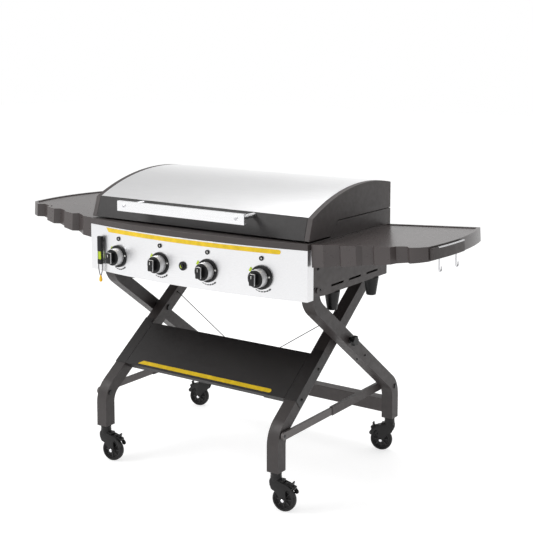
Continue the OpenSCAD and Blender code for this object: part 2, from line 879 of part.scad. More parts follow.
// Brake lever over the wheel, on a pin at the back of the fork
module brake() {
    color(dark_plastic) {
        rod_y(2, -17.4, 17.4, brake_x, brake_z);
        box([brake_x - 5, -12, brake_z - 4.5], [brake_x + 5, 12, brake_z + 5]);
        translate([brake_x + 5, 0, brake_z + 1.5]) rotate([0, 14, 0])
            box([-6, -11, -3], [26, 11, 2]);
    }
}

// Stands a caster part under a leg
module at_front(side) translate([side * (inner_x + tube_w / 2), 2 * mid_y - leg_foot_y, 0])
    rotate([0, 0, front_turn]) children();
module at_rear(side) translate([side * (outer_x + tube_w / 2), leg_foot_y, 0])
    rotate([0, 0, rear_turn]) children();
module at_axle() translate([trail, 0, wheel_r]) children();

module fork_front_left() at_front(-1) fork();
module fork_front_right() at_front(1) fork();
module fork_rear_left() at_rear(-1) fork();
module fork_rear_right() at_rear(1) fork();
module wheel_front_left() at_front(-1) at_axle() wheel();
module wheel_front_right() at_front(1) at_axle() wheel();
module wheel_rear_left() at_rear(-1) at_axle() wheel();
module wheel_rear_right() at_rear(1) at_axle() wheel();
module brake_front_left() at_front(-1) brake();
module brake_front_right() at_front(1) brake();
module brake_rear_left() at_rear(-1) brake();
module brake_rear_right() at_rear(1) brake();

firebox();
top_rim();
control_panel();
panel_strip();
knob_bezels();
griddle_plate();
burners();
gas_manifold();
gas_valves();
igniter_module();
wind_guard();
side_rail_left();
side_rail_right();
body_feet();
lid_hinge_pins();
grease_tray();
lid_skin();
lid_end_left();
lid_end_right();
lid_front_band();
lid_handle();
lid_hinge_arms();
knob(knob_x[0]);  // knob_1
knob(knob_x[1]);  // knob_2
knob(knob_x[2]);  // knob_3
knob(knob_x[3]);  // knob_4
igniter_button();
shelf_left();
shelf_right();
tool_rail();
tool_hooks();
match_stick();
outer_leg_left();
outer_leg_right();
rear_cross_beam();
outer_bolts();
inner_leg_left();
inner_leg_right();
lower_plate();
lower_strip();
inner_tie_tube();
wire_stay();
inner_bolts();
brace_sleeve_left();
brace_sleeve_right();
brace_bar_left();
brace_bar_right();
pivot_knob();
fork_front_left();
fork_front_right();
fork_rear_left();
fork_rear_right();
wheel_front_left();
wheel_front_right();
wheel_rear_left();
wheel_rear_right();
brake_front_left();
brake_front_right();
brake_rear_left();
brake_rear_right();
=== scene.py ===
"""Looks of the flat top griddle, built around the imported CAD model.

Every length is in metres, in the CAD model's own frame: +Z is up, the cook stands at -Y.
"""
import json
import math

import bmesh
import bpy
from mathutils import Matrix, Vector


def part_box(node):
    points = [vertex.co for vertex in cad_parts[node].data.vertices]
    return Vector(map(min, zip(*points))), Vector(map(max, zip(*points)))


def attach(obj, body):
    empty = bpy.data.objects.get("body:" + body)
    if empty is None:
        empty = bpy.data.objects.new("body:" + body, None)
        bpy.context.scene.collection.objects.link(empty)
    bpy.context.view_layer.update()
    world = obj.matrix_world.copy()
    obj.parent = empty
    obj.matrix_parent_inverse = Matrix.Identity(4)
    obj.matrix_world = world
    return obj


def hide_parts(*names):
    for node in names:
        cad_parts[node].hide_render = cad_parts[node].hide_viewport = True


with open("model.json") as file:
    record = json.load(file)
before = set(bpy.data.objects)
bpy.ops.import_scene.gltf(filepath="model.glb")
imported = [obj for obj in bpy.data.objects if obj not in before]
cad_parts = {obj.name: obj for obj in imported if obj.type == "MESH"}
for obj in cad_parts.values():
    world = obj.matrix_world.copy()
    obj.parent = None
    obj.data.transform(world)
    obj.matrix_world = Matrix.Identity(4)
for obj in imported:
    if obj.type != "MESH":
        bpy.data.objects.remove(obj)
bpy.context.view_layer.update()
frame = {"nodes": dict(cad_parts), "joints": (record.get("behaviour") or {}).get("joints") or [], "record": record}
nodes = frame["nodes"]
MM = 0.001
slot_of = {part["node"]: part["material_slot"] for part in frame["record"]["subparts"]}
body_of_node = {node: body for body, members in frame["record"]["behaviour"]["bodies"].items()
                for node in members}

KNOB_NODES = ["knob_1", "knob_2", "knob_3", "knob_4"]
CORNERS = ["front_left", "front_right", "rear_left", "rear_right"]
FRONT_BOW = 46 * MM          # how far the panel's front bows forward at its middle
SIGHT_HEIGHT = 820 * MM      # height of the sight holes
KNOB_REACH = 53 * MM         # from a knob's tip back to its base
BEZEL_REACH = 51 * MM        # from a knob's tip back to its bezel's white dot
DOT_RADIUS = 35.6 * MM       # from a knob's axis to that dot
WHEEL_HALF = 11.0            # half a wheel's width, in mm
SCREW_INSET = 32 * MM        # handle screws, in from the ends of the handle
SCREW_HEIGHT = 948 * MM      # height of the handle screws
LEG_SLOPE = math.radians(36.7)
PLATE_BOLTS = [-271 * MM, -141 * MM]   # along the inner legs from the scissor pivot
RAIL_FACE = 460 * MM         # outer face of a side rail
RAIL_BOLTS = [(-196 * MM, 784 * MM), (-184 * MM, 713 * MM), (-221 * MM, 724 * MM),
              (225 * MM, 784 * MM)]    # y and height of the bolts on a side rail
LEG_PLUGS = [(65 * MM, 422 * MM), (123 * MM, 422 * MM)]   # y and height, on an outer leg
CAMERA_PLACE = (2.2412, -3.0405, 1.4859)
CAMERA_TURN = math.radians(34.9)
CAMERA_DIP = math.radians(6.03)
LOOK_AT = (0, 0, 0.7)        # where the lamps point
# Socket numbers of Blender's mix node, whose colour sockets share their names with others
MIX_FACTOR, MIX_A, MIX_B, MIX_RESULT = 0, 6, 7, 2


# ---------- materials ----------

def new_material(name):
    """A node material with its shader and its node tree."""
    mat = bpy.data.materials.new(name)
    mat.use_nodes = True
    return mat, mat.node_tree, mat.node_tree.nodes["Principled BSDF"]


def coordinates(tree, stretch=(1, 1, 1)):
    """Object coordinates in metres, stretched along each axis."""
    where = tree.nodes.new("ShaderNodeTexCoord")
    mapping = tree.nodes.new("ShaderNodeMapping")
    mapping.inputs["Scale"].default_value = stretch
    tree.links.new(where.outputs["Object"], mapping.inputs["Vector"])
    return mapping.outputs["Vector"]


def noise(tree, vector, scale, detail=4.0, roughness=0.6):
    """A noise texture, as its factor."""
    node = tree.nodes.new("ShaderNodeTexNoise")
    node.inputs["Scale"].default_value = scale
    node.inputs["Detail"].default_value = detail
    node.inputs["Roughness"].default_value = roughness
    tree.links.new(vector, node.inputs["Vector"])
    return node.outputs["Fac"]


def vary_colour(tree, shader, factor, colour, spread):
    """Base colour between a darker and a lighter tone of colour."""
    ramp = tree.nodes.new("ShaderNodeValToRGB")
    ramp.color_ramp.elements[0].position = 0.3
    ramp.color_ramp.elements[1].position = 0.7
    for element, k in zip(ramp.color_ramp.elements, (1 - spread, 1 + spread)):
        element.color = (*[min(1, c * k) for c in colour], 1)
    tree.links.new(factor, ramp.inputs["Fac"])
    tree.links.new(ramp.outputs["Color"], shader.inputs["Base Color"])


def vary_roughness(tree, shader, factor, low, high):
    """Roughness between low and high."""
    span = tree.nodes.new("ShaderNodeMapRange")
    span.inputs["From Min"].default_value = 0.3
    span.inputs["From Max"].default_value = 0.7
    span.inputs["To Min"].default_value = low
    span.inputs["To Max"].default_value = high
    tree.links.new(factor, span.inputs["Value"])
    tree.links.new(span.outputs["Result"], shader.inputs["Roughness"])


def add_bump(tree, shader, factor, strength, depth):
    """Fine relief, depth metres high."""
    bump = tree.nodes.new("ShaderNodeBump")
    bump.inputs["Strength"].default_value = strength
    bump.inputs["Distance"].default_value = depth
    tree.links.new(factor, bump.inputs["Height"])
    tree.links.new(bump.outputs["Normal"], shader.inputs["Normal"])


def powder_coat(name, colour, rough=(0.42, 0.56), relief=0.12):
    """Powder coat: slight orange peel, faint colour drift."""
    mat, tree, shader = new_material(name)
    place = coordinates(tree)
    vary_colour(tree, shader, noise(tree, place, 9), colour, 0.10)
    vary_roughness(tree, shader, noise(tree, place, 60), *rough)
    add_bump(tree, shader, noise(tree, place, 1400, 2), relief, 0.3 * MM)
    shader.inputs["Specular IOR Level"].default_value = 0.5
    return mat


def brushed_metal(name, colour, rough=(0.24, 0.36), stretch=(3, 260, 260), metallic=1.0):
    """Brushed metal, its lines along the axis that stretch scales least."""
    mat, tree, shader = new_material(name)
    lines = coordinates(tree, stretch)
    vary_colour(tree, shader, noise(tree, lines, 4, 6), colour, 0.05)
    vary_roughness(tree, shader, noise(tree, lines, 3, 5), *rough)
    add_bump(tree, shader, noise(tree, lines, 5, 4), 0.05, 0.1 * MM)
    shader.inputs["Metallic"].default_value = metallic
    return mat


def moulded_plastic(name, colour, rough=(0.38, 0.5), grain=900):
    """Moulded plastic with a fine spark-eroded grain."""
    mat, tree, shader = new_material(name)
    place = coordinates(tree)
    vary_colour(tree, shader, noise(tree, place, 40), colour, 0.15)
    vary_roughness(tree, shader, noise(tree, place, 25), *rough)
    add_bump(tree, shader, noise(tree, place, grain, 3), 0.15, 0.15 * MM)
    shader.inputs["Specular IOR Level"].default_value = 0.32
    return mat


def seasoned_steel(name, colour):
    """Cooking plate: dark seasoned steel with broad stains and grinding marks."""
    mat, tree, shader = new_material(name)
    vary_colour(tree, shader, noise(tree, coordinates(tree), 14, 6), colour, 0.45)
    vary_roughness(tree, shader, noise(tree, coordinates(tree), 30), 0.3, 0.6)
    add_bump(tree, shader, noise(tree, coordinates(tree, (4, 200, 4)), 4), 0.08, 0.2 * MM)
    shader.inputs["Metallic"].default_value = 0.8
    return mat


TAUPE = (0.046, 0.038, 0.037)
MATERIALS = {
    "powder_coat": powder_coat("powder_coat", TAUPE),
    "firebox_enamel": powder_coat("firebox_enamel", (0.016, 0.015, 0.015), (0.5, 0.65)),
    "dark_band": powder_coat("dark_band", (0.011, 0.009, 0.009), (0.4, 0.52)),
    "dark_wire": brushed_metal("dark_wire", (0.10, 0.09, 0.09), (0.3, 0.45), (60, 60, 60), 0.7),
    "bolt_black": powder_coat("bolt_black", (0.007, 0.007, 0.0075), (0.3, 0.45)),
    "wire_grey": powder_coat("wire_grey", (0.05, 0.048, 0.048), (0.35, 0.5)),
    "brace_grey": powder_coat("brace_grey", (0.095, 0.084, 0.082), (0.35, 0.5)),
    "tray_steel": powder_coat("tray_steel", (0.09, 0.082, 0.080)),
    "lid_steel": brushed_metal("lid_steel", (0.95, 0.95, 0.96), (0.28, 0.38)),
    "panel_steel": brushed_metal("panel_steel", (0.78, 0.78, 0.79), (0.3, 0.4)),
    "handle_steel": brushed_metal("handle_steel", (0.88, 0.88, 0.89), (0.2, 0.3)),
    "hardware_steel": brushed_metal("hardware_steel", (0.62, 0.62, 0.64), (0.2, 0.35)),
    "chrome": brushed_metal("chrome", (0.82, 0.82, 0.84), (0.06, 0.14), (40, 40, 40)),
    "silver_paint": brushed_metal("silver_paint", (0.62, 0.62, 0.63), (0.3, 0.4), (60, 60, 60),
                                  0.6),
    "leg_coat": powder_coat("leg_coat", (0.032, 0.0262, 0.0255)),
    "hub_grey": moulded_plastic("hub_grey", (0.035, 0.034, 0.035), (0.35, 0.5)),
    "shelf_coat": powder_coat("shelf_coat", (0.060, 0.050, 0.049), (0.27, 0.29), 0.05),
    "burner_steel": brushed_metal("burner_steel", (0.36, 0.33, 0.30), (0.35, 0.55), (260, 3, 260)),
    "gas_brass": brushed_metal("gas_brass", (0.62, 0.44, 0.17), (0.25, 0.4), (3, 260, 260)),
    "plate_steel": seasoned_steel("plate_steel", (0.045, 0.040, 0.037)),
    "yellow_strip": moulded_plastic("yellow_strip", (0.74, 0.50, 0.014), (0.3, 0.42), 500),
    "black_plastic": moulded_plastic("black_plastic", (0.006, 0.006, 0.0065)),
    "knob_black": moulded_plastic("knob_black", (0.006, 0.006, 0.0065), (0.3, 0.42)),
    "button_black": moulded_plastic("button_black", (0.006, 0.006, 0.0065), (0.14, 0.2), 300),
    "pivot_knob_black": moulded_plastic("pivot_knob_black", (0.007, 0.007, 0.0075)),
    "stick_black": moulded_plastic("stick_black", (0.006, 0.006, 0.0065)),
    "caster_black": moulded_plastic("caster_black", (0.009, 0.0085, 0.0088), (0.35, 0.5)),
    "wheel_black": moulded_plastic("wheel_black", (0.010, 0.0095, 0.010), (0.5, 0.65), 1200),
    "lime": moulded_plastic("lime", (0.42, 0.55, 0.02), (0.3, 0.4), 500),
    "white_mark": moulded_plastic("white_mark", (0.8, 0.8, 0.78), (0.3, 0.4), 500),
    "bead": moulded_plastic("bead", (0.85, 0.48, 0.02), (0.3, 0.45), 400),
}


# ---------- mesh helpers ----------

def add_piece(name, mesh, material, body, smooth=35):
    """A new visible piece that rides on a body."""
    piece = bpy.data.objects.new(name, mesh)
    bpy.context.scene.collection.objects.link(piece)
    mesh.materials.clear()
    mesh.materials.append(MATERIALS[material])
    shade_by_angle(mesh, smooth)
    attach(piece, body)
    return piece


def shade_by_angle(mesh, degrees):
    """Smooth shading, with edges sharper than the angle kept crisp."""
    form = bmesh.new()
    form.from_mesh(mesh)
    limit = math.radians(degrees)
    for face in form.faces:
        face.smooth = True
    for edge in form.edges:
        edge.smooth = not (edge.is_manifold and edge.calc_face_angle(0) > limit)
    form.to_mesh(mesh)
    form.free()


def mesh_from(name, form):
    """A mesh made from a bmesh, which is freed."""
    mesh = bpy.data.meshes.new(name)
    bmesh.ops.recalc_face_normals(form, faces=form.faces[:])
    form.to_mesh(mesh)
    form.free()
    return mesh


def bevelled_box(form, low, high, width, segments=2):
    """Adds a box with rounded edges to a bmesh."""
    low, high = Vector(low), Vector(high)
    made = bmesh.ops.create_cube(form, size=1.0)["verts"]
    for vert in made:
        vert.co = Vector([(low[i] + high[i]) / 2 + vert.co[i] * (high[i] - low[i])
                          for i in range(3)])
    edges = list({edge for vert in made for edge in vert.link_edges})
    bmesh.ops.bevel(form, geom=edges, offset=width, segments=segments, affect="EDGES",
                    profile=0.5)


def lathe(form, profile, place, steps=48):
    """Turns (radius, height) points about the place matrix's Z axis."""
    rings = []
    for radius, height in profile:
        ring = [form.verts.new(place @ Vector((radius * math.cos(2 * math.pi * i / steps),
                                               radius * math.sin(2 * math.pi * i / steps),
                                               height))) for i in range(steps)]
        rings.append(ring)
    for inner, outer in zip(rings, rings[1:]):
        for i in range(steps):
            j = (i + 1) % steps
            form.faces.new((inner[i], inner[j], outer[j], outer[i]))
    if profile[0][0] > 0 and profile[0] != profile[-1]:
        form.faces.new(rings[0])
        form.faces.new(rings[-1])


def add_prism(form, near, far):
    """Adds a closed form between two outlines of as many points."""
    near = [form.verts.new(point) for point in near]
    far = [form.verts.new(point) for point in far]
    form.faces.new(near)
    form.faces.new(far[::-1])
    for i in range(len(near)):
        j = (i + 1) % len(near)
        form.faces.new((near[i], far[i], far[j], near[j]))


def join_form(form, other):
    """Adds another bmesh to a bmesh and frees it."""
    mesh = bpy.data.meshes.new("joined")
    other.to_mesh(mesh)
    other.free()
    form.from_mesh(mesh)
    bpy.data.meshes.remove(mesh)


def arc_points(x, z, radius, start, stop, steps):
    """Points along an arc about x, z, from start to stop degrees."""
    angles = [math.radians(start + (stop - start) * i / steps) for i in range(steps + 1)]
    return [(x + radius * math.cos(a), z + radius * math.sin(a)) for a in angles]


def arc_outline(radius, width, start, stop, steps=6):
    """A bent bar: points along an arc, out and back."""
    return (arc_points(0, 0, radius + width / 2, start, stop, steps)
            + arc_points(0, 0, radius - width / 2, stop, start, steps))


def axis_place(origin, direction):
    """A matrix whose Z axis points along direction from origin."""
    turn = Vector(direction).to_track_quat("Z", "Y").to_matrix().to_4x4()
    return Matrix.Translation(origin) @ turn


def bevel_edges(piece, width, limit):
    """Adds a two-step bevel to the edges of a piece that are sharper than limit degrees."""
    bevel = piece.modifiers.new("edges", "BEVEL")
    bevel.width = width
    bevel.segments = 2
    bevel.limit_method = "ANGLE"
    bevel.angle_limit = math.radians(limit)


def apply_modifiers(piece):
    """Turns a piece's modifiers into its mesh, which is returned."""
    bpy.context.view_layer.update()
    finished = bpy.data.meshes.new_from_object(
        piece.evaluated_get(bpy.context.evaluated_depsgraph_get()))
    piece.modifiers.clear()
    piece.data = finished
    return finished


def soften(node, width, material=None):
    """Replaces a CAD node with a copy whose sharp edges are rounded."""
    source = nodes[node]
    form = bmesh.new()
    form.from_mesh(source.data)
    bmesh.ops.remove_doubles(form, verts=form.verts[:], dist=0.01 * MM)
    bmesh.ops.dissolve_limit(form, angle_limit=math.radians(0.8), verts=form.verts[:],
                             edges=form.edges[:])
    mesh = bpy.data.meshes.new(node + "_finished")
    form.to_mesh(mesh)
    form.free()
    shade_by_angle(mesh, 40)
    slot = slot_of[node]
    piece = bpy.data.objects.new(node + "_finished", mesh)
    bpy.context.scene.collection.objects.link(piece)
    bevel_edges(piece, width, 28)
    weights = piece.modifiers.new("normals", "WEIGHTED_NORMAL")
    weights.keep_sharp = True
    finished = apply_modifiers(piece)
    finished.materials.clear()
    finished.materials.append(MATERIALS[material or slot])
    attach(piece, body_of_node[node])
    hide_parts(node)


def joint_of(name):
    """A joint of the record, by name."""
    return next(j for j in frame["joints"] if j["name"] == name)


def dress_cad_nodes():
    """Gives every CAD node the material of its slot."""
    for node, thing in nodes.items():
        thing.data.materials.clear()
        thing.data.materials.append(MATERIALS[slot_of[node]])


# ---------- knobs, buttons and marks on the panel ----------

def panel_front(x):
    """Y of the panel's outer face at x: a parabola with its tip at the front of the box."""
    low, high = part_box("control_panel")
    return low[1] + FRONT_BOW * (x / high[0]) ** 2


def knob_centre(node):
    """A knob's axis and its front: x, the y of its tip, and z."""
    low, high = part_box(node)
    return (low[0] + high[0]) / 2, low[1], (low[2] + high[2]) / 2


def turned(name, profile, place, material, body, steps=64):
    """A lathed piece: profile holds (radius, height) in mm, closed back to its start."""
    form = bmesh.new()
    points = [(r * MM, h * MM) for r, h in profile]
    if profile[0][0] > 0.5:
        points.append(points[0])
    lathe(form, points, place, steps)
    return add_piece(name, mesh_from(name, form), material, body)


def rounded_bar(name, low, high, width, material, body):
    """A box piece with rounded edges."""
    form = bmesh.new()
    bevelled_box(form, low, high, width, 4)
    return add_piece(name, mesh_from(name, form), material, body)


def finish_knob(node):
    """Black skirt, silver drum, black face, bright-sided grip with a dark cap, index line."""
    x, tip, z = knob_centre(node)
    base = tip + KNOB_REACH
    place = axis_place((x, base, z), (0, -1, 0))
    body = body_of_node[node]

    ring = turned(node + "_ring", [(26, -1), (30.6, -1), (31, 0), (31, 2.6), (30.4, 3.4),
                                   (26, 3.6)], place, "knob_black", body)
    turned(node + "_drum", [(22, 3), (30.4, 3), (30.6, 9), (30.4, 18), (29.9, 27), (29.2, 29.4),
                            (28, 30), (22, 30)], place, "silver_paint", body)
    turned(node + "_face", [(0.2, -8), (24, -8), (24, 28), (28.6, 30), (28.6, 31.2), (27.4, 32.2),
                            (0.2, 32.6)], place, "knob_black", body)
    rounded_bar(node + "_neck", (x - 9 * MM, base - 44 * MM, z - 18.5 * MM),
                (x + 9 * MM, base - 28 * MM, z + 18.5 * MM), 3 * MM, "knob_black", body)
    rounded_bar(node + "_grip", (x - 10.2 * MM, base - 51.6 * MM, z - 19.6 * MM),
                (x + 10.2 * MM, base - 42 * MM, z + 19.6 * MM), 3.2 * MM, "silver_paint", body)
    rounded_bar(node + "_cap", (x - 9.9 * MM, tip, z - 19 * MM),
                (x + 9.9 * MM, tip + 7 * MM, z + 19 * MM), 2.8 * MM, "knob_black", body)
    rounded_bar(node + "_line", (x - 1.1 * MM, tip - 0.2 * MM, z + 4 * MM),
                (x + 1.1 * MM, tip + 1 * MM, z + 14 * MM), 0.4 * MM, "white_mark", body)
    stem_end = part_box(node)[1][1]
    turned(node + "_stem", [(0.4, -(stem_end - base) / MM), (4, -(stem_end - base) / MM), (4, 0),
                            (0.4, 0)], place, "hardware_steel", body, 24)
    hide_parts(node)


def flat_mark(name, x, z, outline, material, lift=0.25):
    """A thin printed mark on the bowed panel: outline is (x, z) points about x, z, in mm."""
    form = bmesh.new()
    depth = 0.5 * MM
    points = [(x + dx * MM, z + dz * MM) for dx, dz in outline]
    front = [(px, panel_front(px) - lift * MM, pz) for px, pz in points]
    add_prism(form, front, [(px, py + depth, pz) for px, py, pz in front])
    return add_piece(name, mesh_from(name, form), material, "body", 20)


def mark_panel():
    """Round each knob a growing arc of dashes, a lime tab, a white dot, and a sight hole above."""
    for node in KNOB_NODES:
        x, tip, z = knob_centre(node)
        for i in range(6):
            start = 244 + i * 12
            flat_mark(f"{node}_scale_{i}", x, z,
                      arc_outline(47 + 0.3 * i, 2 + 0.6 * i, start, start + 9), "knob_black", 0.8)
        flat_mark(f"{node}_tab", x, z, arc_outline(46, 8, 142, 160), "lime", 0.8)
        angle = math.radians(8)
        spot = (x + DOT_RADIUS * math.cos(angle), tip + BEZEL_REACH,
                z + DOT_RADIUS * math.sin(angle))
        turned(node + "_dot", [(0.2, -1), (3, -1), (3, 0.6), (2.2, 1), (0.2, 1.1)],
               axis_place(spot, (0, -1, 0)), "white_mark", "body", 20)
        hole = axis_place((x, panel_front(x), SIGHT_HEIGHT), (0, -1, 0))
        turned(node + "_sight", [(3.4, -1), (7.8, -1), (7.8, 3.4), (6.8, 4.2), (4.4, 4.2),
                                 (3.4, 3.4)], hole, "knob_black", "body", 32)
        turned(node + "_glass", [(0.2, 0), (3.6, 0), (3.6, 1.6), (0.2, 1.9)], hole, "white_mark",
               "body", 24)


def mark_igniter():
    """Lime crescent on the front of the igniter button."""
    low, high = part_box("igniter_button")
    x, z = (low[0] + high[0]) / 2, (low[2] + high[2]) / 2
    form = bmesh.new()
    outline = arc_outline(5.2, 2.6, 150, 275, 10)
    add_prism(form, [(x + a * MM, low[1] - 0.3 * MM, z + b * MM) for a, b in outline],
              [(x + a * MM, low[1] + 0.4 * MM, z + b * MM) for a, b in outline])
    add_piece("igniter_crescent", mesh_from("crescent", form), "lime", "igniter_button",
              20)


# ---------- match holder ----------

def finish_match_stick():
    """Sleeve, bright band, collar, two bent wires and a bead."""
    low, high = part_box("match_stick")
    x = (low[0] + high[0]) / 2
    y = (low[1] + high[1]) / 2
    top = high[2]
    body = "match_stick"

    form = bmesh.new()
    bevelled_box(form, (low[0], low[1], top - 57 * MM), (high[0], high[1], top), 4.5 * MM, 3)
    bevelled_box(form, (low[0] + 1 * MM, low[1] + 0.5 * MM, top - 103 * MM),
                 (high[0] - 1 * MM, high[1] - 0.5 * MM, top - 84 * MM), 3 * MM, 3)
    for side in (-1, 1):
        bevelled_box(form, (x + side * 8.6 * MM - 1.6 * MM, y - 4 * MM, top - 86 * MM),
                     (x + side * 8.6 * MM + 1.6 * MM, y + 4 * MM, top - 55 * MM), 1 * MM, 2)
    sleeve = add_piece("match_sleeve", mesh_from("sleeve", form), "stick_black", body)

    form = bmesh.new()
    bevelled_box(form, (x - 6.5 * MM, y - 5 * MM, top - 85 * MM),
                 (x + 6.5 * MM, y + 5 * MM, top - 56 * MM), 1.2 * MM, 2)
    add_piece("match_band", mesh_from("band", form), "lime", body)

    form = bmesh.new()
    for side in (-1, 1):
        path = [(side * 9, -102), (side * 9.4, -118), (side * 6.5, -132), (side * 2.2, -144)]
        points = [Vector((x + a * MM, y, top + b * MM)) for a, b in path]
        for start, stop in zip(points, points[1:]):
            lathe(form, [(1.7 * MM, -0.5 * MM), (1.7 * MM, (stop - start).length + 0.5 * MM)],
                  axis_place(start, stop - start), 16)
    add_piece("match_wires", mesh_from("wires", form), "dark_wire", body)

    form = bmesh.new()
    bead = [(0.3, 0), (3.4, 0.6), (5.6, 3.4), (6, 8), (5.4, 14), (3.8, 19), (2.4, 24), (0.3, 25.5)]
    lathe(form, [(r * MM, h * MM) for r, h in bead], axis_place((x, y, low[2]), (0, 0, 1)), 32)
    add_piece("match_bead", mesh_from("bead", form), "bead", body)
    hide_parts("match_stick")


# ---------- casters ----------

def caster_frame(corner):
    """Place of a caster: origin on the floor under its stem, X towards the wheel."""
    stem = Vector(joint_of("swivel_" + corner)["pos_m"])
    axle = Vector(joint_of("roll_" + corner)["pos_m"])
    along = Vector((axle.x - stem.x, axle.y - stem.y, 0))
    turn = math.atan2(along.y, along.x)
    place = Matrix.Translation((stem.x, stem.y, 0)) @ Matrix.Rotation(turn, 4, "Z")
    return place, along.length, axle.z


def finish_wheel(corner):
    """Tyre with a crowned tread, a web, and a rim and hub joined by spokes."""
    place, trail, radius = caster_frame(corner)
    axle = (place @ Matrix.Translation((trail, 0, radius))
            @ Matrix.Rotation(math.radians(-90), 4, "X"))
    body = "wheel_" + corner
    half = WHEEL_HALF

    form = bmesh.new()
    r = radius / MM
    tread = [(r - 9.5, -half + 2.2), (r - 8.6, -half + 0.4), (r - 4.2, -half),
             (r - 1.6, -half + 1.6), (r - 0.3, -half + 5), (r, 0), (r - 0.3, half - 5),
             (r - 1.6, half - 1.6), (r - 4.2, half), (r - 8.6, half - 0.4),
             (r - 9.5, half - 2.2)]
    lathe(form, [(a * MM, b * MM) for a, b in tread + tread[:1]], axle, 72)
    tyre = add_piece("tyre_" + corner, mesh_from("tyre", form), "wheel_black", body)
    turned("web_" + corner, [(9, -3), (r - 11, -3.4), (r - 11, 3.4), (9, 3)], axle, "wheel_black",
           body)

    form = bmesh.new()
    rim = [(r - 9.4, -7), (r - 9.4, 7), (r - 12, 7.5), (r - 13, 5.5), (r - 13, -5.5),
           (r - 12, -7.5)]
    lathe(form, [(a * MM, b * MM) for a, b in rim + rim[:1]], axle, 72)
    hub = [(4.05, -half - 0.8), (9.5, -half - 0.8), (10.8, -half + 0.6), (10.8, half - 0.6),
           (9.5, half + 0.8), (4.05, half + 0.8)]
    lathe(form, [(a * MM, b * MM) for a, b in hub + hub[:1]], axle, 48)
    for i in range(8):
        spoke = bmesh.new()
        bevelled_box(spoke, (9.5 * MM, -1.7 * MM, -6 * MM), ((r - 12) * MM, 1.7 * MM, 6 * MM),
                     0.8 * MM, 2)
        spoke.transform(axle @ Matrix.Rotation(i * math.pi / 4, 4, "Z"))
        join_form(form, spoke)
    add_piece("hub_" + corner, mesh_from("hub", form), "hub_grey", body)
    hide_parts("wheel_" + corner)


def finish_fork(corner):
    """Swivel housing, two curved cheeks joined by a hood, stem and axle bolt."""
    place, trail, radius = caster_frame(corner)
    body = "fork_" + corner
    form = bmesh.new()
    for side in (-1, 1):
        outline = fork_outline(trail, radius)
        add_prism(form, [place @ Vector((px * MM, side * 13 * MM, pz * MM)) for px, pz in outline],
                  [place @ Vector((px * MM, side * 17 * MM, pz * MM)) for px, pz in outline])
    piece = add_piece("cheeks_" + corner, mesh_from("cheeks", form), "caster_black", body)
    bevel_edges(piece, 1.2 * MM, 40)
    shade_by_angle(apply_modifiers(piece), 40)

    form = bmesh.new()
    housing = [(0.5, 97), (15, 97), (18.2, 99.5), (19, 104), (19, 113), (18, 117), (18.6, 119),
               (18.6, 125.5), (17.4, 127.8), (0.5, 128.3)]
    lathe(form, [(a * MM, b * MM) for a, b in housing], place, 56)
    hood = bmesh.new()
    bevelled_box(hood, (-14 * MM, -13.5 * MM, 95 * MM), (30 * MM, 13.5 * MM, 105 * MM),
                 2.5 * MM, 3)
    hood.transform(place)
    join_form(form, hood)
    add_piece("housing_" + corner, mesh_from("housing", form), "caster_black", body)

    form = bmesh.new()
    lathe(form, [(5.9 * MM, 120 * MM), (5.9 * MM, 151 * MM)], place, 24)
    across = (place @ Matrix.Translation((trail, 0, radius))
              @ Matrix.Rotation(math.radians(90), 4, "X"))
    bolt = [(0.4, -21.5), (4.2, -21.2), (5.6, -20), (5.9, -17.2), (3.9, -17), (3.9, 17),
            (5.9, 17.2), (5.6, 20), (4.2, 21.2), (0.4, 21.5)]
    lathe(form, [(a * MM, b * MM) for a, b in bolt], across, 32)
    add_piece("axle_" + corner, mesh_from("axle", form), "chrome", body)
    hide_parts("fork_" + corner)


def fork_outline(trail, radius):
    """Side outline of a cheek in mm: down to the axle, up, out along an arm, and back."""
    x, z = trail / MM, radius / MM
    return ([(-15, 108), (-18, 99), (-17, 86), (-11, 72), (x - 26, z + 24), (x - 15, z + 9)]
            + arc_points(x, z, 11.5, 165, 345, 10)
            + [(x + 11, z + 10), (x + 9, z + 30), (x + 15, z + 37), (x + 24, z + 33)]
            + arc_points(x + 36, z + 25, 8, 190, 410, 8)
            + [(x + 31, z + 42), (x + 16, z + 52), (x - 4, z + 58), (2, 108)])


def finish_brake(corner):
    """Ribbed brake lever over the wheel."""
    place = caster_frame(corner)[0]
    pin = Vector(joint_of("brake_lever_" + corner)["pos_m"])
    local = place.inverted() @ pin
    form = bmesh.new()
    px, pz = local.x, local.z
    bevelled_box(form, (px - 5 * MM, -12 * MM, pz - 4.5 * MM), (px + 5 * MM, 12 * MM, pz + 5 * MM),
                 1.8 * MM, 3)
    lever = bmesh.new()
    bevelled_box(lever, (-8 * MM, -11.5 * MM, -4 * MM), (29 * MM, 11.5 * MM, 3 * MM), 2.2 * MM, 3)
    bevelled_box(lever, (23 * MM, -11.5 * MM, -7 * MM), (32 * MM, 11.5 * MM, 3 * MM), 3 * MM, 3)
    bevelled_box(lever, (17 * MM, -10 * MM, 1 * MM), (21.5 * MM, 10 * MM, 16 * MM), 1.8 * MM, 3)
    for i in range(3):
        bevelled_box(lever, ((2 + 4 * i) * MM, -9 * MM, 1 * MM),
                     ((4 + 4 * i) * MM, 9 * MM, 4.2 * MM), 0.6 * MM, 2)
    lever.transform(Matrix.Translation((px + 5 * MM, 0, pz + 1.5 * MM))
                    @ Matrix.Rotation(math.radians(14), 4, "Y"))
    join_form(form, lever)
    form.transform(place)
    piece = add_piece("lever_" + corner, mesh_from("lever", form), "caster_black",
                      "brake_" + corner)
    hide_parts("brake_" + corner)


# ---------- fasteners ----------

